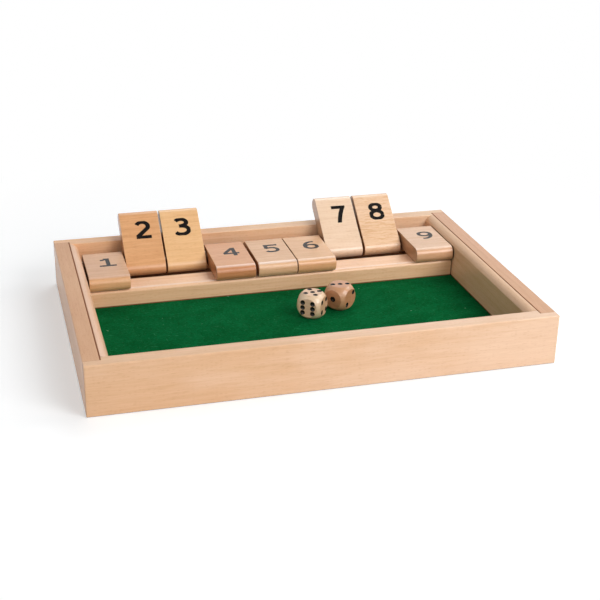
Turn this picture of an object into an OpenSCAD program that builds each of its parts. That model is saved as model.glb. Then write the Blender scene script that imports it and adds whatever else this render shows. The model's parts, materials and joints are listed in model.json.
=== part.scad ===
// Shut the box game: a wooden dice tray with nine numbered tiles that flip over on one axle.
// The origin is the middle of the underside. +X is the player's right, +Y is away from the player.

/* [Box] */
// Depth of the box, front to back
box_d = 185; // [166:1:231]
// Height of the box
box_h = 30.5; // [29:0.5:35]
// Thickness of the four outer rails
rail_t = 9.5; // [7.5:0.5:12]
// How far a side rail laps into the end of the front and back rails
corner_lap = 4; // [2:0.5:5]
// Thickness of the liner boards inside the side rails
liner_t = 5.4; // [5:0.1:8]

/* [Edges] */
// Radius of the bottom edges and upright corners
base_edge_r = 0.8; // [0.6:0.1:2]
// Radius of the outer top edges
top_edge_r = 0.6; // [0.3:0.1:1]
// Radius of the inner top edges and of the seam beside each liner
seam_r = 0.4; // [0.2:0.1:0.6]
// How far the rounded top of each liner drops to its inner face
liner_drop = 3.6; // [1:0.1:4.4]

/* [Floor] */
// Thickness of the base panel
panel_t = 5; // [4:0.5:6.5]
// How far the base panel reaches under the rails
panel_lap = 4; // [2:0.5:5]
// Thickness of the felt
felt_t = 1.2; // [0.8:0.1:2]
// Gap between the felt and the wood around it
felt_gap = 0.1; // [0.05:0.05:0.5]

/* [Ledge] */
// Height of the ledge above the base panel
ledge_h = 12.2; // [11:0.1:13]
// Depth of the ledge, front to back
ledge_d = 16; // [12:0.5:17]
// Distance from the back rail to the rear edge of the ledge
trough_d = 34; // [31:0.5:36]
// Radius of the ledge's front top edge
ledge_front_r = 2.5; // [1:0.1:4]
// Radius of the ledge's rear top edge
ledge_rear_r = 0.5; // [0.2:0.1:1]
// Gap between each end of the ledge and the liner beside it
ledge_end_gap = 0.5; // [0.1:0.05:1]

/* [Tiles] */
// Width of one tile
tile_w = 25.4; // [22:0.1:30]
// Length of one tile
tile_l = 45.5; // [42:0.5:48]
// Thickness of one tile
tile_t = 9.8; // [9:0.1:10.2]
// Radius of the rounded ends
tile_end_r = 4.4; // [3:0.1:4.6]
// Radius that eases the long edges
tile_ease = 0.4; // [0.2:0.1:0.8]
// Gap between neighbouring tiles
tile_gap = 1.25; // [0.9:0.05:2]
// Gap between the end tiles and the liners
end_gap = 1.3; // [0.7:0.05:2]
// Gap left between a resting tile and what it rests on
rest_gap = 0.05; // [0.02:0.01:0.1]

/* [Axle] */
// Diameter of the axle
axle_d = 5; // [4:0.1:5.4]
// Running clearance around the axle, on the radius
axle_play = 0.08; // [0.04:0.01:0.1]
// Glue clearance around the axle ends, on the radius
socket_play = 0.05; // [0.02:0.01:0.1]
// Gap between each end of the axle and the side rail
axle_end_gap = 0.2; // [0.1:0.05:0.5]
// Distance from the axle to the back rail
axle_back = 17.7; // [16.5:0.1:19]
// Distance from the axle to the heel of a tile
heel = 9.9; // [9:0.1:10.5]

/* [Dice] */
// Side of a die
die_s = 15.5; // [12:0.5:16]
// Radius of the ball that rounds the corners of a die
die_ball_r = 9.8; // [9.8:0.1:10.8]
// Distance of a pip's centre from the middle of its face
pip_pitch = 3.25; // [2:0.05:3.5]
// Diameter of a pip
pip_d = 2.5; // [1.5:0.1:2.6]
// Depth of a pip
pip_depth = 0.6; // [0.3:0.1:0.8]

/* [Hidden] */
$fn = 64;

// The row of tiles sets the width inside the liners, and so the width of the box.
tile_count = 9;
row_w = tile_count * tile_w + (tile_count - 1) * tile_gap + 2 * end_gap;
inside_w = row_w + 2 * liner_t;
box_w = inside_w + 2 * rail_t;
inside_d = box_d - 2 * rail_t;
side_rail_l = inside_d + 2 * corner_lap;

// Levels, from the underside up
felt_top = panel_t + felt_t;
ledge_top = panel_t + ledge_h;
ledge_rear = inside_d / 2 - trough_d;
ledge_front = ledge_rear - ledge_d;
felt_d = ledge_front + inside_d / 2;

// The rounding of a tile's ends is limited by its thickness.
end_r = min(tile_end_r, tile_t / 2 - 0.2);

// The axle lies at mid thickness of a tile that rests on the ledge.
axle_y = inside_d / 2 - axle_back;
axle_z = ledge_top + rest_gap + tile_t / 2;
axle_l = inside_w - 2 * axle_end_gap;

// A raised tile leans its back on the rounded inner top edge of the back rail.
lean_y = axle_back + seam_r;
lean_z = box_h - seam_r - axle_z;
lean_off = tile_t / 2 + rest_gap + seam_r;
lean_angle = atan2(lean_z, lean_y) + asin(lean_off / norm([lean_y, lean_z]));
swing = 180 - lean_angle;

// Tiles that stand raised, and how far each tile has slid along the axle
raised = [2, 3, 7, 8];
slide = [0, -0.2, -0.3, -0.25, 0.4, -0.3, -0.2, 0.1, 0.5];

// Place and turn of each die: x, y, angle
die_1_at = [12.1, -8.1, -38];
die_2_at = [32.3, 0.1, -51];
pip_ball_r = (pow(pip_d / 2, 2) + pow(pip_depth, 2)) / (2 * pip_depth);

// Small overlap that keeps cuts clean
cut = 1;

// Beech tones
rail_tone = [0.87, 0.69, 0.53];
liner_tone = [0.90, 0.74, 0.60];
ledge_tone = [0.86, 0.70, 0.53];
panel_tone = [0.80, 0.66, 0.48];
axle_tone = [0.84, 0.66, 0.46];
felt_tone = [0.06, 0.36, 0.19];
tile_tones = [[0.86, 0.69, 0.57], [0.87, 0.65, 0.46], [0.91, 0.73, 0.53],
              [0.84, 0.66, 0.56], [0.87, 0.71, 0.61], [0.88, 0.73, 0.62],
              [0.95, 0.84, 0.72], [0.93, 0.77, 0.59], [0.90, 0.76, 0.67]];
die_tones = [[0.90, 0.75, 0.60], [0.74, 0.54, 0.42]];

function is_raised(i) = len(search(i, raised)) > 0;
function tile_x(i) = (i - (tile_count + 1) / 2) * (tile_w + tile_gap) + slide[i - 1];

// The corner that a radius takes off a square edge, with its corner at the origin
module corner_waste(r) {
    difference() {
        translate([-cut, -cut]) square(r + cut);
        translate([r, r]) circle(r);
    }
}

// A rectangle w by h from the origin, with its own radius at each corner: left to right, bottom then top
module bar_section(w, h, bottom_left, bottom_right, top_left, top_right) {
    difference() {
        square([w, h]);
        if (bottom_left > 0) corner_waste(bottom_left);
        if (bottom_right > 0) translate([w, 0]) mirror([1, 0]) corner_waste(bottom_right);
        if (top_left > 0) translate([0, h]) mirror([0, 1]) corner_waste(top_left);
        if (top_right > 0) translate([w, h]) mirror([1, 0]) mirror([0, 1]) corner_waste(top_right);
    }
}

// Stands a section up in Y and Z, and runs it along X, centred
module along_x(length) {
    translate([-length / 2, 0, 0]) rotate([90, 0, 90]) linear_extrude(length) children();
}

// Stands a section up in X and Z, and runs it along Y, centred
module along_y(length) {
    translate([0, length / 2, 0]) rotate([90, 0, 0]) linear_extrude(length) children();
}

// The pocket that the base panel fills, open at the underside
module panel_pocket() {
    pocket_w = inside_w + 2 * panel_lap;
    pocket_d = inside_d + 2 * panel_lap;
    translate([-pocket_w / 2, -pocket_d / 2, -cut]) cube([pocket_w, pocket_d, panel_t + cut]);
}

// A rail along the front, full width, with a rebate in each end for the side rails
module end_rail() {
    difference() {
        intersection() {
            along_x(box_w)
                translate([-box_d / 2, 0])
                    bar_section(rail_t, box_h, base_edge_r, 0, top_edge_r, seam_r);
            along_y(box_d)
                translate([-box_w / 2, 0])
                    bar_section(box_w, box_h, base_edge_r, base_edge_r, top_edge_r, top_edge_r);
            translate([-box_w / 2, -box_d / 2, 0])
                linear_extrude(box_h)
                    bar_section(box_w, box_d, base_edge_r, base_edge_r, base_edge_r, base_edge_r);
        }
        for (side = [-1, 1])
            translate([side * (inside_w / 2 + rail_t), -side_rail_l / 2 + corner_lap, box_h / 2])
                cube([2 * rail_t, 2 * corner_lap, box_h + 2 * cut], center = true);
        panel_pocket();
    }
}

// A rail along the left side, between the skins of the front and back rails
module side_rail() {
    difference() {
        along_y(side_rail_l)
            translate([-box_w / 2, 0])
                bar_section(rail_t, box_h, base_edge_r, 0, top_edge_r, seam_r);
        panel_pocket();
    }
}

module front_rail() {
    color(rail_tone) end_rail();
}

module back_rail() {
    color(rail_tone) mirror([0, 1, 0]) end_rail();
}

module left_rail() {
    color(rail_tone) side_rail();
}

module right_rail() {
    color(rail_tone) mirror([1, 0, 0]) side_rail();
}

// The panel is flush with the underside of the rails.
module base_panel() {
    color(panel_tone)
        translate([-inside_w / 2 - panel_lap, -inside_d / 2 - panel_lap, 0])
            cube([inside_w + 2 * panel_lap, inside_d + 2 * panel_lap, panel_t]);
}

module felt_sheet() {
    color(felt_tone)
        translate([-row_w / 2 + felt_gap, -inside_d / 2 + felt_gap, panel_t])
            cube([row_w - 2 * felt_gap, felt_d - 2 * felt_gap, felt_t]);
}

// Section of a liner, from the rail to the tray: its top curves down to an edge on the inner face
module liner_section() {
    liner_h = box_h - panel_t;
    arc_w = liner_t - seam_r;
    arc_r = (pow(arc_w, 2) + pow(liner_drop, 2)) / (2 * liner_drop);
    difference() {
        bar_section(liner_t, liner_h, 0, 0, seam_r, 0);
        difference() {
            translate([seam_r, liner_h - liner_drop]) square([liner_t, liner_drop + cut]);
            translate([seam_r, liner_h - arc_r]) circle(arc_r);
        }
    }
}

// A board inside the left rail, with a rounded top, that holds one end of the axle
module liner() {
    color(liner_tone)
        difference() {
            translate([-inside_w / 2, 0, panel_t])
                along_y(inside_d)
                    liner_section();
            translate([-inside_w / 2 - cut, axle_y, axle_z])
                rotate([0, 90, 0])
                    cylinder(h = liner_t + 2 * cut, d = axle_d + 2 * socket_play);
        }
}

module left_liner() {
    liner();
}

module right_liner() {
    mirror([1, 0, 0]) liner();
}

// The step that the lowered tiles rest on
module ledge_rail() {
    color(ledge_tone)
        translate([0, ledge_front, panel_t])
            along_x(row_w - 2 * ledge_end_gap)
                bar_section(ledge_d, ledge_h, 0, 0, ledge_front_r, ledge_rear_r);
}

module tile_axle() {
    color(axle_tone)
        translate([-axle_l / 2, axle_y, axle_z])
            rotate([0, 90, 0])
                cylinder(h = axle_l, d = axle_d);
}

// The far, low quarter of a rounded tile end: a quarter rod along X with eased rims
module end_quarter() {
    rotate([0, 90, 0])
        rotate_extrude(angle = 90)
            translate([0, -tile_w / 2])
                bar_section(end_r, tile_w, 0, tile_ease, 0, tile_ease);
}

// A tile lying flat about its own middle, rounded at both ends
module tile_blank() {
    flat_l = tile_l - 2 * end_r;
    flat_t = tile_t - 2 * end_r;
    along_y(flat_l)
        translate([-tile_w / 2, -tile_t / 2])
            bar_section(tile_w, tile_t, tile_ease, tile_ease, tile_ease, tile_ease);
    translate([-tile_w / 2, -tile_l / 2, -flat_t / 2])
        linear_extrude(flat_t)
            bar_section(tile_w, tile_l, tile_ease, tile_ease, tile_ease, tile_ease);
    for (near = [0, 1], high = [0, 1])
        mirror([0, near, 0])
            mirror([0, 0, high])
                translate([0, flat_l / 2, -flat_t / 2])
                    end_quarter();
}

// A tile about the axle, lying flat with its free end towards -Y
module tile_body() {
    difference() {
        translate([0, heel - tile_l / 2, 0]) tile_blank();
        rotate([0, 90, 0])
            cylinder(h = tile_w + 2 * cut, d = axle_d + 2 * axle_play, center = true);
    }
}

module tile(i) {
    color(tile_tones[i - 1])
        translate([tile_x(i), axle_y, axle_z])
            rotate([is_raised(i) ? -swing : 0, 0, 0])
                tile_body();
}

module tile_1() { tile(1); }
module tile_2() { tile(2); }
module tile_3() { tile(3); }
module tile_4() { tile(4); }
module tile_5() { tile(5); }
module tile_6() { tile(6); }
module tile_7() { tile(7); }
module tile_8() { tile(8); }
module tile_9() { tile(9); }

// Where the pips of a face with n pips lie, in steps of the pip pitch
function pips(n) = concat(
    n % 2 == 1 ? [[0, 0]] : [],
    n > 1 ? [[-1, -1], [1, 1]] : [],
    n > 3 ? [[-1, 1], [1, -1]] : [],
    n == 6 ? [[-1, 0], [1, 0]] : []);

// The hollows of one face's pips, on the top of a die
module face_pips(n) {
    for (p = pips(n))
        translate([p[0] * pip_pitch, p[1] * pip_pitch, die_s / 2 - pip_depth + pip_ball_r])
            sphere(pip_ball_r);
}

// A die with its front, right and top faces named; opposite faces add up to seven
module die(at, front, right, top) {
    translate([at[0], at[1], felt_top + rest_gap + die_s / 2])
        rotate([0, 0, at[2]])
            difference() {
                intersection() {
                    cube(die_s, center = true);
                    sphere(die_ball_r);
                }
                face_pips(top);
                rotate([180, 0, 0]) face_pips(7 - top);
                rotate([90, 0, 0]) face_pips(front);
                rotate([-90, 0, 0]) face_pips(7 - front);
                rotate([0, 0, 90]) rotate([90, 0, 0]) face_pips(right);
                rotate([0, 0, -90]) rotate([90, 0, 0]) face_pips(7 - right);
            }
}

module die_1() {
    color(die_tones[0]) die(die_1_at, 6, 4, 5);
}

module die_2() {
    color(die_tones[1]) die(die_2_at, 1, 2, 3);
}

front_rail();
back_rail();
left_rail();
right_rail();
base_panel();
felt_sheet();
left_liner();
right_liner();
ledge_rail();
tile_axle();
tile_1();
tile_2();
tile_3();
tile_4();
tile_5();
tile_6();
tile_7();
tile_8();
tile_9();
die_1();
die_2();
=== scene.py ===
"""Looks of a shut the box game: beech, felt, ink and studio light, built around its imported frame."""
import json
import math

import bmesh
import bpy
from mathutils import Matrix, Vector, noise
from mathutils.geometry import delaunay_2d_cdt


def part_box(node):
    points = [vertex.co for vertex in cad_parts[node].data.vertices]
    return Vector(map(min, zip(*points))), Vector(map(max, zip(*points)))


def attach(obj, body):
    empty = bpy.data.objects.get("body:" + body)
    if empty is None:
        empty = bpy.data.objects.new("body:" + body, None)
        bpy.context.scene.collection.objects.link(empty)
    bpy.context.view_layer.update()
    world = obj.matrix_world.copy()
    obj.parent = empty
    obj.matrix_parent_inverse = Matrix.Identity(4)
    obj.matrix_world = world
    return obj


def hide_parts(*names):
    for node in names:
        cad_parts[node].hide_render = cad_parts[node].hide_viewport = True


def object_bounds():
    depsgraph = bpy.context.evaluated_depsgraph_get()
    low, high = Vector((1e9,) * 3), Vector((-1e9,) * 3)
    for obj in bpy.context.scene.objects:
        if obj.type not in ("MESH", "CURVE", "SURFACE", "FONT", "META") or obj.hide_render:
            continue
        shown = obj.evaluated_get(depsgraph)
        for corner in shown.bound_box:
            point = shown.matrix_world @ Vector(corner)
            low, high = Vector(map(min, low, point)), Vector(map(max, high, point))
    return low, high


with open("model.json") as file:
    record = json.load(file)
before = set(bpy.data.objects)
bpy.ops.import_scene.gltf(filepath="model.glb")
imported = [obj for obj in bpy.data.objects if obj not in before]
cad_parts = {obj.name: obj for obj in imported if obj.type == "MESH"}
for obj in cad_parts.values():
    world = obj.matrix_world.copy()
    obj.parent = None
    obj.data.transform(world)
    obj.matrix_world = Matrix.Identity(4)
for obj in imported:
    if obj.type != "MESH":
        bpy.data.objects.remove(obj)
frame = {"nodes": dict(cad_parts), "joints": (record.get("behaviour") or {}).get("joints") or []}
CAD_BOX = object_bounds()

MM = 0.001
TILES = range(1, 10)
DICE = ("die_1", "die_2")

# Planes of the joints in the woodwork, in millimetres
SEAM_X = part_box("right_liner")[1].x / MM
LAP_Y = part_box("right_rail")[1].y / MM
PANEL_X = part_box("base_panel")[1].x / MM
PANEL_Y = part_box("base_panel")[1].y / MM
PANEL_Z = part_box("base_panel")[1].z / MM
FELT_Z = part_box("felt_sheet")[1].z / MM
RIM_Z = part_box("front_rail")[1].z / MM

# Turns that bring the grain of a piece onto X, in degrees
GRAIN_X = (0, 0, 0)
GRAIN_Y = (0, 0, -90)

# Sockets of a colour mix node: its two colours and its result
MIX_ONE = 6
MIX_OTHER = 7
MIX_RESULT = 2


def linear(red, green, blue):
    """A screen colour from 0 to 255 as the linear colour that a shader takes, by the sRGB curve."""
    def channel(value):
        part = value / 255
        return part / 12.92 if part <= 0.04045 else ((part + 0.055) / 1.055) ** 2.4
    return (channel(red), channel(green), channel(blue), 1.0)


class Graph:
    """A node tree. Each call adds a node and gives back its output."""

    def __init__(self, tree):
        self.tree = tree
        self.coordinates = self.node("ShaderNodeTexCoord")

    def node(self, kind, **settings):
        made = self.tree.nodes.new(kind)
        for key, value in settings.items():
            setattr(made, key, value)
        return made

    def feed(self, socket, value):
        if isinstance(value, bpy.types.NodeSocket):
            self.tree.links.new(value, socket)
        else:
            socket.default_value = value

    def math(self, operation, *values):
        made = self.node("ShaderNodeMath", operation=operation)
        for socket, value in zip(made.inputs, values):
            self.feed(socket, value)
        return made.outputs[0]

    def vector(self, operation, *values):
        made = self.node("ShaderNodeVectorMath", operation=operation)
        for socket, value in zip(made.inputs, values):
            self.feed(socket, value)
        return made.outputs["Value" if operation in ("LENGTH", "DOT_PRODUCT") else "Vector"]

    def place(self, turn=GRAIN_X, shift=(0, 0, 0)):
        """The point on the piece in millimetres, with the grain turned onto X."""
        made = self.node("ShaderNodeMapping")
        self.feed(made.inputs["Vector"], self.coordinates.outputs["Object"])
        made.inputs["Location"].default_value = shift
        made.inputs["Rotation"].default_value = [math.radians(angle) for angle in turn]
        made.inputs["Scale"].default_value = (1 / MM,) * 3
        return made.outputs[0]

    def axes(self, vector):
        made = self.node("ShaderNodeSeparateXYZ")
        self.feed(made.inputs[0], vector)
        return made.outputs

    def join(self, *values):
        made = self.node("ShaderNodeCombineXYZ")
        for socket, value in zip(made.inputs, values):
            self.feed(socket, value)
        return made.outputs[0]

    def level(self):
        """The height above the underside of the box, in millimetres."""
        return self.axes(self.place())[2]

    def facing(self, direction):
        """How squarely the surface faces a direction or its opposite, from 0 to 1."""
        normal = self.coordinates.outputs["Normal"]
        return self.math("ABSOLUTE", self.vector("DOT_PRODUCT", normal, direction))

    def noise_node(self, place, size, detail, roughness):
        made = self.node("ShaderNodeTexNoise")
        self.feed(made.inputs["Vector"], self.vector("DIVIDE", place, size))
        made.inputs["Scale"].default_value = 1
        made.inputs["Detail"].default_value = detail
        made.inputs["Roughness"].default_value = roughness
        return made

    def noise(self, place, size, detail=2.0, roughness=0.5):
        """Noise from 0 to 1 whose grains have this size along each axis, in millimetres."""
        return self.noise_node(place, size, detail, roughness).outputs[0]

    def strayed(self, start, place, size, reach):
        """The start, shifted by up to about half of reach each way, as it wanders from place to place."""
        wander = self.noise_node(place, size, 1.0, 0.5).outputs["Color"]
        centred = self.vector("SUBTRACT", wander, (0.5, 0.5, 0.5))
        return self.vector("ADD", start, self.vector("MULTIPLY", centred, (reach, reach, reach)))

    def cells(self, place, size):
        """Scattered cells of this size: the distance from each one's middle, and its own random value."""
        made = self.node("ShaderNodeTexVoronoi")
        self.feed(made.inputs["Vector"], self.vector("DIVIDE", place, size))
        made.inputs["Scale"].default_value = 1
        split = self.node("ShaderNodeSeparateColor")
        self.feed(split.inputs[0], made.outputs["Color"])
        return made.outputs["Distance"], split.outputs[0]

    def openness(self, reach, samples):
        """How much of the air within this reach, in millimetres, is free of other surfaces, from 0 to 1."""
        made = self.node("ShaderNodeAmbientOcclusion", samples=samples)
        made.inputs["Distance"].default_value = reach * MM
        return made.outputs["AO"]

    def rise(self, value, low, high, top=1.0):
        """0 below low, top above high, and smooth between them."""
        made = self.node("ShaderNodeMapRange", interpolation_type="SMOOTHSTEP")
        for socket, number in zip(made.inputs, (value, low, high, 0.0, top)):
            self.feed(socket, number)
        return made.outputs[0]

    def fall(self, value, low, high, top=1.0):
        """top below low, 0 above high, and smooth between them."""
        return self.math("SUBTRACT", top, self.rise(value, low, high, top))

    def near(self, value, middle, reach, flat=0.4):
        """1 where the value is within this flat share of reach from the middle, 0 beyond reach."""
        away = self.math("ABSOLUTE", self.math("SUBTRACT", value, middle))
        return self.fall(away, reach * flat, reach)

    def mix(self, blend, factor, one, other):
        made = self.node("ShaderNodeMix", data_type="RGBA", blend_type=blend)
        self.feed(made.inputs["Factor"], factor)
        self.feed(made.inputs[MIX_ONE], one)
        self.feed(made.inputs[MIX_OTHER], other)
        return made.outputs[MIX_RESULT]

    def shader_mix(self, factor, one, other):
        made = self.node("ShaderNodeMixShader")
        for socket, value in zip(made.inputs, (factor, one, other)):
            self.feed(socket, value)
        return made.outputs[0]

    def bump(self, height, depth, strength=1.0):
        """Relief from a height of 0 to 1 that stands for this depth in millimetres."""
        made = self.node("ShaderNodeBump")
        made.inputs["Strength"].default_value = strength
        made.inputs["Distance"].default_value = depth * MM
        self.feed(made.inputs["Height"], height)
        return made.outputs[0]


class Surface(Graph):
    """The node tree of one material, with its shader."""

    def __init__(self, name):
        self.material = bpy.data.materials.new(name)
        self.material.use_nodes = True
        super().__init__(self.material.node_tree)
        self.shader = self.tree.nodes["Principled BSDF"]

    def shade(self, **values):
        """Feeds the shader's sockets, named with _ for a space."""
        for key, value in values.items():
            self.feed(self.shader.inputs[key.replace("_", " ")], value)


# Hairlines where boards meet, in millimetres: how far each kind reaches from its plane, how softly it
# ends, how far below the rim a liner's seam fades out, and how far up from the underside a panel's does
SEAM_REACH = 0.6
LAP_REACH = 0.16
PANEL_REACH = 0.3
LINE_END = 0.1
PANEL_END = 0.2
SEAM_FADE = (3, 2)
UNDERSIDE = (0.1, 0.3)
# The strength of a lap's line, and the tone of every hairline
LAP_STRENGTH = 0.55
LINE_TONE = (0.42, 0.27, 0.18, 1)


def joint_lines(g):
    """Dark hairlines where the boards of the box meet: liner seams, corner laps and the base panel."""
    x, y, z = g.axes(g.place())
    x = g.math("ABSOLUTE", x)
    y = g.math("ABSOLUTE", y)
    seam = g.math("MULTIPLY", g.near(x, SEAM_X, SEAM_REACH), g.fall(y, LAP_Y, LAP_Y + LINE_END))
    seam = g.math("MULTIPLY", seam, g.rise(z, RIM_Z - SEAM_FADE[0], RIM_Z - SEAM_FADE[1]))
    lap = g.math("MULTIPLY", g.near(y, LAP_Y, LAP_REACH), g.rise(x, SEAM_X - LINE_END, SEAM_X))
    lap = g.math("MULTIPLY", lap, LAP_STRENGTH)
    side = g.math("MULTIPLY", g.near(x, PANEL_X, PANEL_REACH), g.fall(y, PANEL_Y, PANEL_Y + PANEL_END))
    end = g.math("MULTIPLY", g.near(y, PANEL_Y, PANEL_REACH), g.fall(x, PANEL_X, PANEL_X + PANEL_END))
    under = g.math("MULTIPLY", g.math("MAXIMUM", side, end), g.fall(z, *UNDERSIDE))
    return g.math("MAXIMUM", g.math("MAXIMUM", seam, lap), under)


# Patterns in beech. A size is along the grain, across and deep, in millimetres. A limit pair is where a
# pattern starts and where it is full, and a shift keeps it apart from the others.
DRIFT_SIZE = (60, 16, 16)
DRIFT_LIMITS = (0.25, 0.78)
LEAN_LENGTH = 100
# Dark streaks from broad to fine: size, detail, limits and tone
STREAKS = (
    ((38, 1.7, 1.7), 3, (0.42, 0.72), (0.86, 0.78, 0.68, 1)),
    ((11, 0.7, 0.7), 2, (0.40, 0.70), (0.88, 0.81, 0.72, 1)),
    ((7, 0.28, 0.28), 2, (0.45, 0.75), (0.88, 0.82, 0.74, 1)),
)
PALE_SHIFT = (40, 9, 5)
PALE_SIZE = (16, 0.6, 0.6)
PALE_LIMITS = (0.55, 0.8)
PALE_STRENGTH = 0.4
PALE_TONE = (0.5, 0.4, 0.3, 1)
# Late wood: where in a year it starts, is full and ends, and its tone
LATE_START = 0.35
LATE_FULL = 0.9
LATE_END = 1.0
LATE_TONE = (0.80, 0.68, 0.54, 1)
# Flecks: the size of a cell, the edge of a fleck in it, and the limits of the random value that picks it,
# which for the small ones depend on their share and are this far apart
SMALL_CELL = (2.6, 0.55, 0.55)
SMALL_EDGE = (0.15, 0.45)
SMALL_PICK = 0.01
LARGE_SHIFT = (11, 7, 3)
LARGE_CELL = (7.0, 1.1, 1.1)
LARGE_EDGE = (0.10, 0.38)
LARGE_PICK = (0.62, 0.9)
FLECK_DEPTH = 0.6
FLECK_STRENGTH = 0.5
FLECK_TONE = (0.76, 0.62, 0.50, 1)
WAVELET_SHIFT = (5, 70, 9)
WAVELET_SIZE = (9.0, 0.9, 0.9)
WAVELET_LIMITS = (0.50, 0.66)
WAVELET_TONE = (0.84, 0.70, 0.54, 1)

# Faces, by how squarely they look along a direction: end grain, rounded ends, which get painted light
# and shade, the rim where a rounded end turns away from the face, which gets a pale painted highlight,
# and the flats of a die, which get painted shade
END_LIMITS = (0.6, 0.95)
NOSE_LIMITS = (0.35, 0.85)
RIM_AT = 0.36
RIM_REACH = 0.32
RIM_HIGHLIGHT = (0.44, 0.40, 0.40, 1)
FLAT_LIMITS = (0.975, 0.995)

# Levels over which painted shade darkens the top of the panel in the trough, and over which the boards
# round the tray pale upwards from a painted dark shade line at the felt, in millimetres, and the tones of
# both painted shades
TROUGH_LEVELS = (PANEL_Z - 0.4, PANEL_Z - 0.1)
FOOT_LEVELS = (FELT_Z + 0.2, FELT_Z + 0.6)
TROUGH_SHADE = (0.30, 0.23, 0.19, 1)
FOOT_SHADE = (0.34, 0.22, 0.16, 1)
# Painted shade in narrow gaps: how near a surface has to be, in millimetres, how much open air is dark
# and how much is bright, and the tone of the shade
CREVICE_REACH = 2.5
CREVICE_SAMPLES = 16
CREVICE_AIR = (0.12, 0.62)
CREVICE_SHADE = (0.34, 0.26, 0.22, 1)

# Relief of the wood's fibres and flecks, its depth in millimetres and its strength, how rough the wood is
# and how much rougher in its fibres and at its ends, how it shines, and how rough its lacquer is
FIBRE_RELIEF = 0.5
FLECK_RELIEF = 0.8
WOOD_RELIEF = 0.03
WOOD_BUMP = 0.6
WOOD_ROUGH = 0.42
FIBRE_ROUGH = 0.10
WOOD_SHINE = 0.05
LACQUER_ROUGH = 0.26


def streaked(g, bent, colour, strength):
    """Adds the dark streaks and the pale ones. Also gives the pattern of the finest dark ones."""
    for size, detail, limits, tone in STREAKS:
        pattern = g.rise(g.noise(bent, size, detail), *limits)
        colour = g.mix("MULTIPLY", g.math("MULTIPLY", pattern, strength), colour, tone)
    pale = g.rise(g.noise(g.vector("ADD", bent, PALE_SHIFT), PALE_SIZE), *PALE_LIMITS)
    colour = g.mix("SCREEN", g.math("MULTIPLY", pale, PALE_STRENGTH * strength), colour, PALE_TONE)
    return colour, pattern


def ringed(g, place, wander, colour, pith, ring, wave, strength):
    """Adds the late wood of the years that lie round the middle of the trunk."""
    off_pith = g.vector("MULTIPLY", g.vector("SUBTRACT", place, (0, *pith)), (0, 1, 1))
    warp = g.math("MULTIPLY", wander, 2 * wave)
    years = g.math("DIVIDE", g.math("ADD", g.vector("LENGTH", off_pith), warp), ring)
    part = g.math("FRACT", years)
    late = g.math("MULTIPLY", g.rise(part, LATE_START, LATE_FULL), g.fall(part, LATE_FULL, LATE_END))
    return g.mix("MULTIPLY", g.math("MULTIPLY", late, strength), colour, LATE_TONE)


def flecked(g, bent, colour, flecks, ripple):
    """Adds small and large flecks, and dark wavelets. Also gives the pattern of the flecks."""
    small_off, small_pick = g.cells(bent, SMALL_CELL)
    picked = g.rise(small_pick, 1 - flecks, 1 + SMALL_PICK - flecks)
    small = g.math("MULTIPLY", g.fall(small_off, *SMALL_EDGE), picked)
    large_off, large_pick = g.cells(g.vector("ADD", bent, LARGE_SHIFT), LARGE_CELL)
    large = g.math("MULTIPLY", g.fall(large_off, *LARGE_EDGE), g.rise(large_pick, *LARGE_PICK))
    fleck = g.math("MULTIPLY", g.math("MAXIMUM", small, large), FLECK_DEPTH)
    colour = g.mix("MULTIPLY", g.math("MULTIPLY", fleck, FLECK_STRENGTH), colour, FLECK_TONE)
    shifted = g.vector("ADD", bent, WAVELET_SHIFT)
    wavelet = g.rise(g.noise(shifted, WAVELET_SIZE, detail=1), *WAVELET_LIMITS)
    colour = g.mix("MULTIPLY", g.math("MULTIPLY", wavelet, ripple), colour, WAVELET_TONE)
    return colour, fleck


def faced(g, turn, colour, end_tone, nose, flats):
    """Tones the faces by the way they look: end grain, painted light and shade on rounded ends, a painted
    highlight round their rim, and painted shade on the flats of a die. Also gives where the end grain
    shows.
    """
    ways = [unturned(turn) @ Vector(way) for way in ((1, 0, 0), (0, 1, 0), (0, 0, 1))]
    end = g.rise(g.facing(ways[0]), *END_LIMITS)
    colour = g.mix("MULTIPLY", end, colour, end_tone)
    if nose:
        direction, end_shading, rim = nose
        turned = g.facing(direction)
        # Painted light and shade on the faces along the direction
        colour = g.mix("MULTIPLY", g.rise(turned, *NOSE_LIMITS), colour, end_shading)
        # A pale painted highlight round the rim of those faces
        painted_rim = g.math("MULTIPLY", g.near(turned, RIM_AT, RIM_REACH), rim)
        colour = g.mix("SCREEN", painted_rim, colour, RIM_HIGHLIGHT)
    if flats:
        along, across, deep = (g.facing(way) for way in ways)
        most = g.math("MAXIMUM", g.math("MAXIMUM", along, across), deep)
        # Painted shade on the flats, which leaves the rounded edges lighter, as if lit
        colour = g.mix("MULTIPLY", g.rise(most, *FLAT_LIMITS), colour, flats)
    return colour, end


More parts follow.
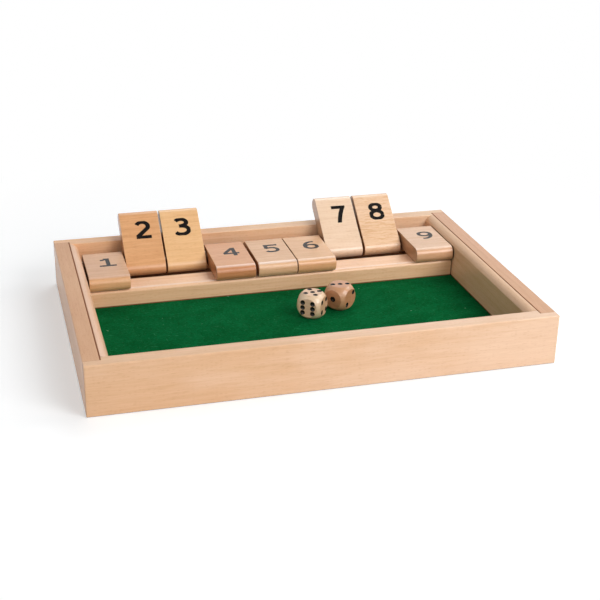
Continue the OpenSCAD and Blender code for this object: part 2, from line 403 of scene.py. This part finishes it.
def beech(name, tone, blush, turn=GRAIN_X, shift=(0, 0, 0), pith=(25, -90), ring=3.6, rings=0.16,
          wave=2.4, wave_size=(90, 14, 14), curl=0.5, streaks=0.3, flecks=0.4, ripple=0.0, lean=0.0,
          end_tone=(0.62, 0.50, 0.40, 1), gloss=1.0, nose=None, flats=None,
          joints=False, trough=False, foot=False):
    """Steamed beech under a satin lacquer. Sizes are millimetres, with X along the grain.

    tone and blush are the two colours that drift into each other along the board, and lean is how
    much the second gains over LEAN_LENGTH. turn brings the grain onto X, and shift picks the place in
    the trunk that the board is cut from. pith is how far off, across and deep, the middle of the trunk
    lies, and ring is the width of one year. wave bends the years and curl bends the fibres, both over
    wave_size. rings, streaks and ripple are the strengths of the late wood, the streaks and the dark
    wavelets, and flecks is the share of small flecks that show. end_tone is the tone of the end grain,
    and gloss is the weight of the lacquer. nose is a direction, the painted light and shade on faces
    along it, and the strength of the painted highlight round their rim. flats is the painted shade on
    the flat faces of a die, which leaves its rounded edges lighter, as if lit. joints adds the hairlines
    where boards meet, trough paints shade on the top of the panel, and foot paints a dark shade line
    at the felt.
    """
    g = Surface(name)
    place = g.place(turn, shift)
    along = g.axes(g.place(turn))[0]

    broad = g.math("ADD", g.noise(place, DRIFT_SIZE), g.math("MULTIPLY", along, lean / LEAN_LENGTH))
    colour = g.mix("MIX", g.rise(broad, *DRIFT_LIMITS), linear(*tone), linear(*blush))
    wander = g.math("SUBTRACT", g.noise(place, wave_size), 0.5)
    bend = g.math("MULTIPLY", wander, 2 * curl)
    bent = g.vector("ADD", place, g.join(0, bend, bend))

    colour, fibre = streaked(g, bent, colour, streaks)
    colour = ringed(g, place, wander, colour, pith, ring, wave, rings)
    colour, fleck = flecked(g, bent, colour, flecks, ripple)
    colour, end = faced(g, turn, colour, end_tone, nose, flats)
    if joints:
        lines = joint_lines(g)
        colour = g.mix("MULTIPLY", lines, colour, LINE_TONE)
        gloss = g.math("MULTIPLY", gloss, g.math("SUBTRACT", 1, lines))
    # Painted shade in a dark line along the foot of the board at the felt
    if foot:
        colour = g.mix("MULTIPLY", g.fall(g.level(), *FOOT_LEVELS), colour, FOOT_SHADE)
    # Painted shade on the top of the panel in the trough
    if trough:
        colour = g.mix("MULTIPLY", g.rise(g.level(), *TROUGH_LEVELS), colour, TROUGH_SHADE)
    # Painted shade in narrow gaps, where the ambient occlusion finds other surfaces near
    shaded_gaps = g.fall(g.openness(CREVICE_REACH, CREVICE_SAMPLES), *CREVICE_AIR)
    colour = g.mix("MULTIPLY", shaded_gaps, colour, CREVICE_SHADE)

    raised, sunk = g.math("MULTIPLY", fibre, FIBRE_RELIEF), g.math("MULTIPLY", fleck, FLECK_RELIEF)
    height = g.math("SUBTRACT", raised, sunk)
    rough = g.math("ADD", WOOD_ROUGH, g.math("MULTIPLY", g.math("ADD", fibre, end), FIBRE_ROUGH))
    g.shade(Base_Color=colour, Roughness=rough, Specular_IOR_Level=WOOD_SHINE)
    g.shade(Normal=g.bump(height, WOOD_RELIEF, WOOD_BUMP), Coat_Weight=gloss, Coat_Roughness=LACQUER_ROUGH)
    return g.material


def unturned(turn):
    """The rotation that takes a direction of the grain's frame back to the piece's own."""
    return Matrix.Rotation(math.radians(-turn[2]), 3, "Z") @ Matrix.Rotation(math.radians(-turn[1]), 3, "Y")


def dress(node, material):
    """Gives a CAD node its material."""
    frame["nodes"][node].material_slots[0].material = material


def dress_box():
    dress("front_rail", beech("front_rail_beech", (234, 188, 146), (246, 208, 176), GRAIN_X,
                              shift=(0, 31, 12), pith=(30, -60), lean=0.16, rings=0.08, streaks=0.26,
                              flecks=0.3, joints=True))
    dress("back_rail", beech("back_rail_beech", (243, 195, 153), (248, 212, 178), GRAIN_X,
                             shift=(57, -44, 5), pith=(-25, -70), lean=0.25, gloss=0.6, joints=True))
    dress("left_rail", beech("left_rail_beech", (217, 166, 126), (225, 176, 136), GRAIN_Y,
                             shift=(120, 12, 44), pith=(-60, -50), gloss=0.6, rings=0.08,
                             streaks=0.2, flecks=0.3, joints=True))
    dress("right_rail", beech("right_rail_beech", (216, 163, 120), (222, 166, 126), GRAIN_Y,
                              shift=(-60, 71, -9), pith=(50, -65), joints=True))
    dress("left_liner", beech("left_liner_beech", (232, 187, 153), (237, 195, 164), GRAIN_Y,
                              shift=(31, 5, 62), pith=(70, -40), joints=True, foot=True))
    dress("right_liner", beech("right_liner_beech", (232, 188, 149), (239, 197, 159), GRAIN_Y,
                               shift=(77, -35, 21), pith=(-80, -30), joints=True, foot=True))
    # The ledge's front faces get painted light, and its rounded front edge a painted highlight
    dress("ledge_rail", beech("ledge_beech", (246, 200, 162), (250, 205, 170), GRAIN_X,
                              shift=(13, 66, 41), pith=(20, -75), foot=True,
                              nose=((0, 1, 0), (1.06, 1.05, 1.0, 1), 0.55)))
    dress("base_panel", beech("panel_beech", (196, 156, 116), (206, 166, 126), GRAIN_X,
                              shift=(9, 3, 81), pith=(15, -140), ring=5.5, joints=True, trough=True))
    dress("tile_axle", beech("axle_beech", (216, 170, 122), (224, 180, 132), GRAIN_X,
                             shift=(3, 17, 29)))


# Each tile: its two tones, the strength of its rings and of its streaks, the painted light and shade on
# its rounded ends, and the strength of the painted highlight round their rim
TILE_WOOD = {
    1: ((222, 172, 134), (230, 182, 140), 0.14, 0.45, (1.14, 1.12, 1.00, 1), 0.30),
    2: ((233, 175, 125), (239, 183, 133), 0.24, 0.45, (0.98, 0.96, 0.94, 1), 0.10),
    3: ((246, 197, 144), (250, 203, 150), 0.14, 0.35, (0.98, 0.96, 0.94, 1), 0.10),
    4: ((228, 166, 120), (234, 174, 128), 0.12, 0.55, (0.85, 0.72, 0.63, 1), 0.65),
    5: ((233, 186, 146), (239, 194, 154), 0.14, 0.60, (1.08, 1.08, 1.08, 1), 0.85),
    6: ((236, 188, 144), (242, 194, 152), 0.14, 0.50, (1.01, 0.91, 0.80, 1), 0.45),
    7: ((249, 218, 188), (253, 223, 196), 0.10, 0.30, (0.98, 0.96, 0.94, 1), 0.10),
    8: ((247, 207, 169), (250, 212, 178), 0.12, 0.25, (0.98, 0.96, 0.94, 1), 0.10),
    9: ((235, 194, 160), (239, 200, 168), 0.12, 0.50, (0.97, 0.83, 0.73, 1), 0.30),
}
# The tile with wavy figure: how far its fibres bend, over what size, and the strength of its wavelets
WAVY_TILE = 8
WAVY = {"curl": 0.9, "wave_size": (4, 8, 8), "ripple": 0.6}
# How far apart in the trunk neighbouring tiles are cut, along the grain, across and deep
TILE_SHIFT = (37, 11, 23)


def tile_turn(number):
    """How tile number stands at rest, turned about the axle from lying on the ledge."""
    joint = next(joint for joint in frame["joints"] if joint["child"] == f"tile_{number}")
    return Matrix.Rotation(math.radians(min(0, min(joint["range_deg"]))), 3, "X")


def dress_tiles():
    for number in TILES:
        tone, blush, rings, streaks, end_shading, rim = TILE_WOOD[number]
        figure = WAVY if number == WAVY_TILE else {}
        shift = [number * step for step in TILE_SHIFT]
        lengthwise = tile_turn(number) @ Vector((0, 1, 0))
        # Its rounded ends get painted light and shade, and a painted highlight round their rim
        dress(f"tile_{number}", beech(f"tile_{number}_beech", tone, blush, GRAIN_X, shift, rings=rings,
                                      streaks=streaks, nose=(lengthwise, end_shading, rim), **figure))


# Each die: its two tones, its turn about the vertical in degrees, and how far along the grain it is cut
DIE_WOOD = {
    "die_1": ((240, 206, 170), (246, 216, 184), -38, 50),
    "die_2": ((214, 160, 121), (222, 171, 133), -51, 90),
}
DIE_ENDS = (0.86, 0.80, 0.74, 1)
# Painted shade on the flat faces of a die, which leaves its rounded edges lighter, as if lit
DIE_FLAT_SHADE = (0.93, 0.85, 0.84, 1)


def dress_dice():
    for name, (tone, blush, turn, along) in DIE_WOOD.items():
        dress(name, beech(f"{name}_beech", tone, blush, (0, 0, -turn), (along, 8, 19),
                          pith=(12, -30), end_tone=DIE_ENDS, flats=DIE_FLAT_SHADE))


# Ink: its two tones, the size of its unevenness in millimetres and the limits of the paler tone, how rough
# it is and how much rougher where it is pale, how it shines, and the weight and roughness of its lacquer
INK_DARK = (14, 10, 9)
INK_PALE = (28, 23, 21)
INK_GRAIN = (0.6, 0.6, 0.6)
INK_LIMITS = (0.35, 0.75)
INK_ROUGH = 0.42
INK_ROUGH_GAIN = 0.12
INK_SHINE = 0.04
INK_GLOSS = 0.55
INK_GLOSS_ROUGH = 0.25


def ink():
    """Black printing ink, a little uneven, under a thinner lacquer than the wood's."""
    g = Surface("ink")
    cover = g.rise(g.noise(g.place(), INK_GRAIN, detail=3), *INK_LIMITS)
    colour = g.mix("MIX", cover, linear(*INK_DARK), linear(*INK_PALE))
    rough = g.math("ADD", INK_ROUGH, g.math("MULTIPLY", cover, INK_ROUGH_GAIN))
    g.shade(Base_Color=colour, Roughness=rough, Specular_IOR_Level=INK_SHINE)
    g.shade(Coat_Weight=INK_GLOSS, Coat_Roughness=INK_GLOSS_ROUGH)
    return g.material


def add_piece(name, bm, material, body):
    """Makes a piece from a bmesh, in the row frame, and lets it ride on a body."""
    mesh = bpy.data.meshes.new(name)
    bm.to_mesh(mesh)
    bm.free()
    piece = bpy.data.objects.new(name, mesh)
    bpy.context.scene.collection.objects.link(piece)
    mesh.materials.append(material)
    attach(piece, body)
    return piece


# Numerals, in millimetres from the foot of the figure, with X from its middle
NUMERAL_H = 13.2
UPRIGHT_STROKE = 2.55
LEVEL_STROKE = 2.15
STEPS_PER_TURN = 56


def arc(x, y, wide, high, start, end):
    """Points along an ellipse's arc, from one angle to another in degrees."""
    steps = max(2, round(abs(end - start) / 360 * STEPS_PER_TURN))
    angles = [math.radians(start + (end - start) * k / steps) for k in range(steps + 1)]
    return [Vector((x + wide * math.cos(a), y + high * math.sin(a))) for a in angles]


def line(*points):
    return [Vector(p) for p in points]


def curve(start, pull, end, steps=10):
    """Points along a curve from start to end that leaves towards pull."""
    start, pull, end = Vector(start), Vector(pull), Vector(end)
    shares = [k / steps for k in range(steps + 1)]
    return [start * (1 - t) ** 2 + pull * 2 * t * (1 - t) + end * t * t for t in shares]


# Levels of the middle of the lowest and of the highest level stroke
FOOT = LEVEL_STROKE / 2
HEAD = NUMERAL_H - FOOT
# The width of each numeral, and its strokes. A stroke that runs past the figure's box is cut off there.
NUMERALS = {
    1: (10.6, [line((0.3, -1), (0.3, 14)), line((-6, FOOT), (6, FOOT)),
               curve((-4.2, 10.6), (-1.0, 10.7), (-0.4, 13.4))]),
    2: (9.9, [arc(-0.35, 9.2, 3.75, 3.05, 158, -38) + line((-4.6, 1.2)), line((-6, FOOT), (6, FOOT))]),
    3: (10.4, [arc(-0.7, 9.85, 3.7, 2.4, 150, -80) + line((-2.0, 7.2)),
               line((-2.0, 7.2)) + arc(-0.6, 4.05, 4.6, 3.1, 75, -152)]),
    4: (10.4, [line((2.1, -1), (2.1, 14)), line((-6, 3.9), (6, 3.9)), line((3.0, 14.4), (-5.4, 3.3))]),
    5: (10.1, [line((-2.8, HEAD), (6, HEAD)), line((-2.8, 14), (-3.0, 6.6)),
               curve((-3.8, 6.9), (-2.1, 7.9), (0.2, 7.8), 6) + arc(-0.1, 4.35, 4.1, 3.4, 82, -150)]),
    6: (10.2, [arc(0.1, 4.2, 3.92, 3.25, 0, 360), arc(2.1, 4.9, 5.95, 7.35, 184, 78)]),
    7: (9.7, [line((-6, HEAD), (4.4, HEAD)), curve((4.2, 13.6), (0.2, 7.4), (-1.2, -1.0))]),
    8: (10.4, [arc(0, 9.85, 3.45, 2.4, 0, 360), arc(0, 3.9, 4.08, 2.95, 0, 360)]),
    9: (10.3, [arc(-0.1, 9.0, 4.0, 3.25, 0, 360), arc(-2.2, 8.3, 6.05, 7.35, 4, -102)]),
}
# How far right of the tile's middle each numeral is printed
NUMERAL_RIGHT = {1: 1.5, 2: 1.6, 3: 0.8, 4: 1.65, 5: 1.35, 6: 2.1, 7: 2.1, 8: 1.4, 9: 2.5}
# From the axle to the middle of the numeral that shows when the tile is down, and the same when it is up
DOWN_NUMERAL = 10.0
UP_NUMERAL = 20.0
# How much heavier the strokes are on the face that shows when the tile is up
UP_WEIGHT = 1.16
# How far the film of ink reaches above and below the face of the tile
INK_UP = 0.03
INK_DOWN = 0.02
# The triangulation keeps what is inside the outlines, and joins points nearer than this
INSIDE = 1
WELD = 1e-4


def stroke_quads(points, weight):
    """Four-sided steps along a stroke, whose width depends on its direction as a broad pen's does."""
    sides = []
    for k, point in enumerate(points):
        ahead = (points[min(k + 1, len(points) - 1)] - points[max(k - 1, 0)]).normalized()
        width = weight * (LEVEL_STROKE * ahead.x ** 2 + UPRIGHT_STROKE * ahead.y ** 2)
        across = Vector((-ahead.y, ahead.x)) * width / 2
        sides.append((point + across, point - across))
    return [(a[0], a[1], b[1], b[0]) for a, b in zip(sides, sides[1:])]


def numeral_shape(number, weight):
    """The numeral as flat triangles: its strokes joined into one shape, inside its box."""
    width, strokes = NUMERALS[number]
    half = width / 2
    box = [Vector((-half, 0)), Vector((half, 0)), Vector((half, NUMERAL_H)), Vector((-half, NUMERAL_H))]
    quads = [box] + [quad for stroke in strokes for quad in stroke_quads(stroke, weight)]
    points = [point for quad in quads for point in quad]
    faces = [list(range(4 * k, 4 * k + 4)) for k in range(len(quads))]
    points, _, faces, _, _, sources = delaunay_2d_cdt(points, [], faces, INSIDE, WELD, True)
    kept = [face for face, source in zip(faces, sources) if 0 in source and len(source) > 1]
    return points, kept


def print_numeral(bm, number, right, up, out, middle, weight):
    """Adds a numeral as a thin film of ink on the face with this middle and these directions."""
    points, faces = numeral_shape(number, weight)
    used = sorted({k for face in faces for k in face})

    def lifted(level):
        made = {}
        for k in used:
            p = points[k]
            place = middle + (right * p.x + up * (p.y - NUMERAL_H / 2) + out * level) * MM
            made[k] = bm.verts.new(place)
        return made

    top, bottom = lifted(INK_UP), lifted(-INK_DOWN)
    borders = {}
    for face in faces:
        bm.faces.new([top[k] for k in face])
        bm.faces.new([bottom[k] for k in reversed(face)])
        for a, b in zip(face, face[1:] + face[:1]):
            if (b, a) in borders:
                del borders[(b, a)]
            else:
                borders[(a, b)] = True
    for a, b in borders:
        bm.faces.new([top[b], top[a], bottom[a], bottom[b]])


def make_numerals(material):
    """Prints each tile's numeral on both of its faces, upright on the face that shows."""
    low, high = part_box("tile_1")
    half_thick = (high.z - low.z) / 2
    for joint in frame["joints"]:
        if not joint["child"].startswith("tile_"):
            continue
        number = int(joint["child"][-1])
        turn = tile_turn(number)
        axle = Vector(joint["pos_m"])
        shift = NUMERAL_RIGHT[number] * MM
        bm = bmesh.new()
        for sign, reach, weight in ((1, DOWN_NUMERAL, 1), (-1, UP_NUMERAL, UP_WEIGHT)):
            middle = axle + turn @ Vector((shift, -reach * MM, sign * half_thick))
            print_numeral(bm, number, Vector((1, 0, 0)), turn @ Vector((0, sign, 0)),
                          turn @ Vector((0, 0, sign)), middle, weight)
        add_piece(f"tile_{number}_numerals", bm, material, joint["child"])


# Pips, in millimetres: pitch from the middle of the face, and the width and depth of the hollow
PIP_PITCH = 3.25
PIP_WIDTH = 2.5
PIP_DEPTH = 0.6
# Paint in a pip: how far it reaches above and below the hollow, how far it spreads over the rim, the same
# for the pip that stands alone, how thick it lies there, and how much deeper its pole is than its last ring
PIP_FILM = 0.03
PIP_SPREAD = 0.3
LONE_SPREAD = 0.55
PIP_BRIM = 0.025
POLE_DIP = 0.02
# Where the pips of each number lie, in steps of the pitch
PIP_SPOTS = {
    1: [(0, 0)],
    2: [(-1, -1), (1, 1)],
    3: [(0, 0), (-1, -1), (1, 1)],
    4: [(-1, -1), (1, 1), (-1, 1), (1, -1)],
    5: [(0, 0), (-1, -1), (1, 1), (-1, 1), (1, -1)],
    6: [(-1, -1), (1, 1), (-1, 1), (1, -1), (-1, 0), (1, 0)],
}
# Rings and sides of each round film
PIP_RINGS = 4
PIP_SIDES = 20
# The numbers on the top, front and right faces of each die
DIE_FACES = {"die_1": (5, 6, 4), "die_2": (3, 1, 2)}


def pip_profile(spread):
    """Half of a pip's section from its rim to its pole, as radius and level: the top, then the foot."""
    ball = ((PIP_WIDTH / 2) ** 2 + PIP_DEPTH ** 2) / (2 * PIP_DEPTH)
    reach = math.acos((ball - PIP_DEPTH) / ball)
    tilts = [reach * (1 - k / PIP_RINGS) for k in range(PIP_RINGS)]

    def bowl(radius):
        return [(radius * math.sin(t), ball - PIP_DEPTH - radius * math.cos(t)) for t in tilts]

    rim = PIP_WIDTH / 2 + spread
    top = [(rim, PIP_BRIM / 2), (rim - PIP_BRIM, PIP_BRIM)]
    top += [(r, z + PIP_BRIM) for r, z in bowl(ball - PIP_FILM)]
    foot = [(rim, -PIP_BRIM / 2)] + bowl(ball + PIP_FILM)
    return top, foot


def pip_film(bm, place, spread):
    """Adds the paint that lines one round hollow, whose face is the place matrix's XY plane."""
    turns = [2 * math.pi * j / PIP_SIDES for j in range(PIP_SIDES)]

    def layer(profile):
        rings = [[bm.verts.new(place @ Vector((r * math.cos(t), r * math.sin(t), z))) for t in turns]
                 for r, z in profile]
        pole = bm.verts.new(place @ Vector((0, 0, profile[-1][1] - POLE_DIP)))
        return rings, pole

    top, foot = (layer(profile) for profile in pip_profile(spread))
    for (rings, pole), flip in ((top, False), (foot, True)):
        for j in range(PIP_SIDES):
            n = (j + 1) % PIP_SIDES
            faces = [[a[j], a[n], b[n], b[j]] for a, b in zip(rings, rings[1:])]
            faces.append([rings[-1][j], rings[-1][n], pole])
            for face in faces:
                bm.faces.new(face[::-1] if flip else face).smooth = True
    for j in range(PIP_SIDES):
        n = (j + 1) % PIP_SIDES
        bm.faces.new([foot[0][0][j], foot[0][0][n], top[0][0][n], top[0][0][j]])


def make_pips(material):
    """Paints the pips on all six sides of each die. Opposite sides add up to seven."""
    for name in DICE:
        low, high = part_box(name)
        half = (high.z - low.z) / 2
        _, _, turn, _ = DIE_WOOD[name]
        stand = Matrix.Translation((low + high) / 2) @ Matrix.Rotation(math.radians(turn), 4, "Z")
        top, front, right = DIE_FACES[name]
        to_front = Matrix.Rotation(math.radians(90), 4, "X")
        to_right = Matrix.Rotation(math.radians(90), 4, "Z") @ to_front
        flip = Matrix.Rotation(math.radians(180), 4, "X")
        sides = [(top, Matrix()), (7 - top, flip), (front, to_front),
                 (7 - front, Matrix.Rotation(math.radians(-90), 4, "X")),
                 (right, to_right), (7 - right, Matrix.Rotation(math.radians(-90), 4, "Z") @ to_front)]
        bm = bmesh.new()
        for number, side in sides:
            spread = LONE_SPREAD if number == 1 else PIP_SPREAD
            for x, y in PIP_SPOTS[number]:
                spot = Matrix.Translation((x * PIP_PITCH * MM, y * PIP_PITCH * MM, half))
                pip_film(bm, stand @ side @ spot @ Matrix.Scale(MM, 4), spread)
        add_piece(f"{name}_pips", bm, material, name)


# Felt, in millimetres: the two tones of its patches of nap, and its tufts and matted fibres, with the size,
# detail and roughness of each pattern
NAP_TONES = ((1, 95, 48), (5, 104, 56))
NAP = ((17, 13, 20), 5, 0.62)
NAP_LIMITS = (0.38, 0.62)
TUFT = ((4.2, 3.0, 4), 3, 0.65)
TUFT_LIMITS = (0.42, 0.66)
TUFT_TONE = (0.78, 0.88, 0.84, 1)
MAT = ((1.5, 1.1, 1.0), 4, 0.7)
MAT_LIMITS = (0.4, 0.7)
MAT_TONE = (0.44, 0.60, 0.52, 1)
# Two sets of stray hairs: how they are turned in degrees, the size of their bends, and their length, then
# how far they bend, their width and their tone
HAIRS = ((0, (6, 6, 6), 4.5), (62, (5, 5, 5), 4.0))
HAIR_BEND = 5
HAIR_WIDTH = 0.5
HAIR_LIMITS = (0.64, 0.72)
HAIR_TONE = (70, 150, 104)
HAIR_STRENGTH = 0.30
# Lint: the size of a cell, the edge of a bit in it, and the limits of the random value that picks it
LINT_CELL = (11, 6, 50)
LINT_EDGE = (0.03, 0.07)
LINT_PICK = (0.62, 0.63)
LINT_TONE = (150, 190, 160)
LINT_STRENGTH = 0.6
# How much of the relief is tufts and hairs, its depth in millimetres, and how the felt shines
TUFT_RELIEF = 0.4
FELT_RELIEF = 0.3
FELT_BUMP = 0.8
FELT_ROUGH = 0.95
FELT_SHINE = 0.03
SHEEN = 0.02
SHEEN_ROUGH = 0.45
SHEEN_TONE = (120, 200, 150)


def felt():
    """Green felt: matted fibres with patches of nap, short pale hairs and bits of lint."""
    g = Surface("green_felt")
    place = g.place()
    dark, pale = NAP_TONES
    colour = g.mix("MIX", g.rise(g.noise(place, *NAP), *NAP_LIMITS), linear(*dark), linear(*pale))
    tuft = g.noise(place, *TUFT)
    colour = g.mix("MULTIPLY", g.rise(tuft, *TUFT_LIMITS), colour, TUFT_TONE)
    mat = g.noise(place, *MAT)
    colour = g.mix("MULTIPLY", g.rise(mat, *MAT_LIMITS), colour, MAT_TONE)

    strays = [g.strayed(g.place((0, 0, turn)), place, bends, HAIR_BEND) for turn, bends, _ in HAIRS]
    sets = [g.rise(g.noise(stray, (length, HAIR_WIDTH, 1)), *HAIR_LIMITS)
            for stray, (_, _, length) in zip(strays, HAIRS)]
    hair = g.math("MAXIMUM", *sets)
    colour = g.mix("MIX", g.math("MULTIPLY", hair, HAIR_STRENGTH), colour, linear(*HAIR_TONE))
    lint_off, lint_pick = g.cells(strays[0], LINT_CELL)
    lint = g.math("MULTIPLY", g.fall(lint_off, *LINT_EDGE), g.rise(lint_pick, *LINT_PICK))
    colour = g.mix("MIX", g.math("MULTIPLY", lint, LINT_STRENGTH), colour, linear(*LINT_TONE))

    height = g.math("ADD", mat, g.math("MULTIPLY", g.math("ADD", hair, tuft), TUFT_RELIEF))
    g.shade(Base_Color=colour, Roughness=FELT_ROUGH, Specular_IOR_Level=FELT_SHINE)
    g.shade(Normal=g.bump(height, FELT_RELIEF, FELT_BUMP))
    g.shade(Sheen_Weight=SHEEN, Sheen_Roughness=SHEEN_ROUGH, Sheen_Tint=linear(*SHEEN_TONE))
    return g.material


# The felt's mesh, in millimetres: the grid's step, how far its edge rounds over and where in that the grid
# has one more line, how far its top wavers, and the size and share of each wave in it
FELT_STEP = 1.5
FELT_EDGE = 0.5
EDGE_STOP = 0.3
FELT_WAVER = 0.05
FELT_WAVES = ((5, 1.0), (2, 0.5))


def make_felt():
    """The felt as a closed sheet with a slightly uneven top and a softened edge."""
    low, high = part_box("felt_sheet")
    columns = round((high.x - low.x) / (FELT_STEP * MM))
    rows = round((high.y - low.y) / (FELT_STEP * MM))
    edge = FELT_EDGE * MM

    def stops(start, end, count):
        """Even steps from start to end, with two more near each end to round the edge."""
        inner = [start + edge + (end - start - 2 * edge) * k / count for k in range(count + 1)]
        return [start, start + EDGE_STOP * edge] + inner + [end - EDGE_STOP * edge, end]

    def level(x, y):
        """The height of the felt's top, which rounds over at the edge and wavers inside it."""
        inset = min(x - low.x, high.x - x, y - low.y, high.y - y)
        share = min(1.0, inset / edge)
        drop = edge * (1 - math.sqrt(1 - (1 - share) ** 2))
        waver = sum(part * noise.noise(Vector((x, y, 0)) / (size * MM)) for size, part in FELT_WAVES)
        return high.z - drop - FELT_WAVER * MM * share * (1 + waver) / 2

    xs, ys = stops(low.x, high.x, columns), stops(low.y, high.y, rows)
    bm = bmesh.new()
    top = [[bm.verts.new((x, y, level(x, y))) for x in xs] for y in ys]
    for near, far in zip(top, top[1:]):
        for k in range(len(xs) - 1):
            bm.faces.new([near[k], near[k + 1], far[k + 1], far[k]]).smooth = True
    rim = top[0] + [row[-1] for row in top[1:]] + top[-1][-2::-1] + [row[0] for row in top[-2:0:-1]]
    foot = [bm.verts.new((v.co.x, v.co.y, low.z)) for v in rim]
    for k in range(len(rim)):
        n = (k + 1) % len(rim)
        bm.faces.new([rim[n], rim[k], foot[k], foot[n]])
    bm.faces.new(foot[::-1])
    piece = add_piece("felt_cloth", bm, felt(), "box")
    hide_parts("felt_sheet")


# Camera: place in metres, turn to the right, tilt down and roll in degrees, and lens in millimetres
CAMERA_AT = (-0.17726, -0.64979, 0.31442)
CAMERA_TURN = 15.79
CAMERA_TILT = 24.02
CAMERA_ROLL = 1.0
CAMERA_LENS = 71.51
CAMERA_SENSOR = 36


def make_camera():
    data = bpy.data.cameras.new("camera")
    data.lens = CAMERA_LENS
    data.sensor_width = CAMERA_SENSOR
    camera = bpy.data.objects.new("camera", data)
    bpy.context.scene.collection.objects.link(camera)
    bpy.context.scene.camera = camera
    turn = Matrix.Rotation(math.radians(-CAMERA_TURN), 4, "Z")
    tilt = Matrix.Rotation(math.radians(90 - CAMERA_TILT), 4, "X")
    roll = Matrix.Rotation(math.radians(CAMERA_ROLL), 4, "Z")
    camera.matrix_world = Matrix.Translation(CAMERA_AT) @ turn @ tilt @ roll


def seen_directly(g):
    """1 for rays from the camera, and for those that a gloss or clear surface sends on."""
    path = g.node("ShaderNodeLightPath")
    total = path.outputs["Is Camera Ray"]
    for name in ("Is Glossy Ray", "Is Transmission Ray"):
        total = g.math("MAXIMUM", total, path.outputs[name])
    return total


# Light: the level at which each source lights a white surface that faces it
AMBIENT_LEVEL = 0.02
AMBIENT_TONE = (0.97, 0.98, 1.0, 1)
# Each lamp: degrees to the right of the front, degrees up, distance and width in metres, level
LAMPS = {
    "key": (35, 35, 1.4, 0.8, 0.59),
    "front": (0, 20, 1.5, 1.2, 0.22),
    "right": (92, 42, 1.4, 0.6, 0.22),
    "left": (-80, 30, 1.4, 1.0, 0.26),
    "back": (150, 54, 1.3, 0.7, 0.28),
}
# The studio is white all round, but overhead it is dim in reflections: its tone there, and the heights
# between which it dims on the unit ball round the object
WHITE = (1, 1, 1, 1)
OVERHEAD = (0.15, 0.15, 0.15, 1)
OVERHEAD_RISE = (0.70, 0.90)
# The floor as seen, as it lights the object, its glow, and where its shadow fades into white, in metres
FLOOR_SEEN = (0.725, 0.74, 0.75, 1)
FLOOR_BOUNCE = (0.75, 0.75, 0.76, 1)
FLOOR_GLOW = 0.42
FLOOR_FADE = (0.16, 0.36)
# The floor's size in metres, the squares along one side, and how far below the box it lies in millimetres
FLOOR_SIZE = 8.0
FLOOR_SQUARES = 8
FLOOR_DROP = 0.1


def studio_tone(g):
    """White all round, and dim overhead for the rays that a gloss surface sends up."""
    height = g.axes(g.coordinates.outputs["Generated"])[2]
    reflected = g.node("ShaderNodeLightPath").outputs["Is Glossy Ray"]
    share = g.math("MULTIPLY", g.rise(height, *OVERHEAD_RISE), reflected)
    return g.mix("MIX", share, WHITE, OVERHEAD)


def make_world():
    """White where the camera sees it, and a faint even light on the object."""
    world = bpy.data.worlds.new("studio")
    bpy.context.scene.world = world
    world.use_nodes = True
    world.node_tree.nodes.clear()
    g = Graph(world.node_tree)
    white, ambient = (g.node("ShaderNodeBackground") for _ in range(2))
    g.feed(white.inputs["Color"], studio_tone(g))
    g.feed(ambient.inputs["Color"], AMBIENT_TONE)
    g.feed(ambient.inputs["Strength"], AMBIENT_LEVEL)
    mixed = g.shader_mix(seen_directly(g), ambient.outputs[0], white.outputs[0])
    g.feed(g.node("ShaderNodeOutputWorld").inputs["Surface"], mixed)


def make_lamps():
    for name, (right, up, distance, width, level) in LAMPS.items():
        data = bpy.data.lights.new(name, "AREA")
        data.shape = "DISK"
        data.size = width
        data.energy = level * math.pi ** 2 * distance ** 2
        lamp = bpy.data.objects.new(name, data)
        bpy.context.scene.collection.objects.link(lamp)
        angle, rise = math.radians(right), math.radians(up)
        level_x, level_y = math.sin(angle), -math.cos(angle)
        towards = Vector((level_x * math.cos(rise), level_y * math.cos(rise), math.sin(rise)))
        lamp.location = towards * distance
        lamp.rotation_euler = towards.to_track_quat("Z", "Y").to_euler()


def make_floor():
    """A white floor that goes on to the horizon and keeps the object's shadow."""
    bm = bmesh.new()
    bmesh.ops.create_grid(bm, x_segments=FLOOR_SQUARES, y_segments=FLOOR_SQUARES, size=FLOOR_SIZE / 2)
    mesh = bpy.data.meshes.new("floor")
    bm.to_mesh(mesh)
    bm.free()
    floor = bpy.data.objects.new("floor", mesh)
    floor.location.z = CAD_BOX[0].z - FLOOR_DROP * MM
    bpy.context.scene.collection.objects.link(floor)
    mesh.materials.append(floor_white())


def floor_white():
    """White where the camera looks at it, with the shadow kept near the object."""
    g = Surface("floor_white")
    g.tree.nodes.remove(g.shader)
    seen, bounce = (g.node("ShaderNodeBsdfDiffuse") for _ in range(2))
    g.feed(seen.inputs["Color"], FLOOR_SEEN)
    g.feed(bounce.inputs["Color"], FLOOR_BOUNCE)
    glow, white = (g.node("ShaderNodeEmission") for _ in range(2))
    g.feed(glow.inputs["Strength"], FLOOR_GLOW)
    lit = g.node("ShaderNodeAddShader")
    g.feed(lit.inputs[0], seen.outputs[0])
    g.feed(lit.inputs[1], glow.outputs[0])
    away = g.rise(g.vector("LENGTH", g.coordinates.outputs["Object"]), *FLOOR_FADE)
    shown = g.shader_mix(away, lit.outputs[0], white.outputs[0])
    final = g.shader_mix(seen_directly(g), bounce.outputs[0], shown)
    g.feed(g.tree.nodes["Material Output"].inputs["Surface"], final)
    return g.material


def make_scene():
    make_camera()
    make_world()
    make_lamps()
    make_floor()
    dress_box()
    dress_tiles()
    dress_dice()
    make_felt()
    black = ink()
    make_numerals(black)
    make_pips(black)
    bpy.context.scene.view_settings.view_transform = "Standard"


make_scene()
